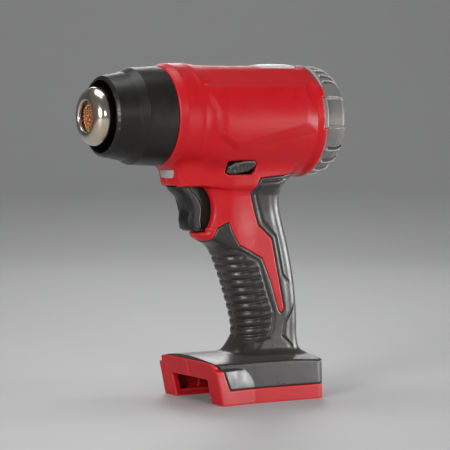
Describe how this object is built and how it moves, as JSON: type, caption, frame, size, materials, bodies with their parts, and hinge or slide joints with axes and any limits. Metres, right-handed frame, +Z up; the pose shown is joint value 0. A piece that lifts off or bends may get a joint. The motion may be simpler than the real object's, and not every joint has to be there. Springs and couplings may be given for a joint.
{
  "type": "cordless heat gun",
  "caption": "Compact pistol-grip cordless heat gun with a steel nozzle in a black heat shield, red barrel, ribbed grip and a foot for a slide-on battery pack.",
  "frame": {"origin": "centre of the bounding box's bottom, on the ground under the battery foot's height", "axes": "+Z up, nozzle points along -X, the trigger's finger side is -X, the tool is symmetric about the XZ plane"},
  "size_m": [0.1694, 0.0726, 0.2107],
  "materials": {
    "red_plastic": "satin moulded nylon",
    "grip_rubber": "ribbed soft rubber",
    "grey_skin": "satin soft skin",
    "black_plastic": "satin black heat-proof plastic",
    "grey_plastic": "satin grey plastic",
    "light_grey_plastic": "satin light grey plastic",
    "stainless": "polished stainless, heat tinted",
    "steel": "bright steel",
    "mica": "pressed mica board",
    "heater_wire": "oxidised resistance wire",
    "duct_plastic": "matt black nylon",
    "bronze": "sintered bronze",
    "ferrite": "ferrite and lamination steel",
    "copper": "copper",
    "fuse_parts": "ceramic and plated metal",
    "lens": "frosted clear plastic",
    "circuit_board": "glass fibre board"
  },
  "bodies": {
    "housing": {"housing_left": "red_plastic", "housing_right": "red_plastic", "front_grip_left": "grip_rubber", "front_grip_right": "grip_rubber", "rear_grip_left": "grey_skin", "rear_grip_right": "grey_skin", "foot_cover_left": "grey_skin", "foot_cover_right": "grey_skin", "collar": "black_plastic", "switch_body": "black_plastic", "motor_end_cap": "black_plastic", "terminal_block": "black_plastic", "rear_cap": "grey_plastic", "top_insert": "light_grey_plastic", "nozzle": "stainless", "heater_tube": "steel", "motor_can": "steel", "housing_screws": "steel", "trigger_spring": "steel", "heater_flange": "steel", "intake_screen": "steel", "mica_sleeve": "mica", "mica_core": "mica", "heating_coil": "heater_wire", "air_duct": "duct_plastic", "fan_shroud": "duct_plastic", "motor_mount": "duct_plastic", "front_bush": "bronze", "rear_bush": "bronze", "motor_magnets": "ferrite", "carbon_brushes": "ferrite", "terminal_blades": "copper", "power_leads": "copper", "thermal_fuse": "fuse_parts", "thermostat": "fuse_parts", "led_lens": "lens", "led_board": "circuit_board", "control_board": "circuit_board"},
    "fan_rotor": {"rotor": "ferrite", "commutator": "copper", "motor_shaft": "steel", "fan_impeller": "duct_plastic"},
    "trigger_group": {"trigger": "black_plastic", "switch_plunger": "duct_plastic"},
    "lock": {"lock_shuttle": "grey_plastic"}
  },
  "joints": [
    {"name": "fan_spin", "type": "hinge", "parent": "housing", "child": "fan_rotor", "pos_m": [0.035, 0, 0.178], "axis": [1, 0, 0], "continuous": true},
    {"name": "trigger_slide", "type": "slide", "parent": "housing", "child": "trigger_group", "axis": [1, 0, 0], "range_m": [0, 0.0065], "stiffness_N_per_m": 600, "springref_m": -0.006, "deforming": ["trigger_spring"]},
    {"name": "lock_slide", "type": "slide", "parent": "housing", "child": "lock", "axis": [0, 1, 0], "range_m": [-0.0025, 0.0025]}
  ]
}
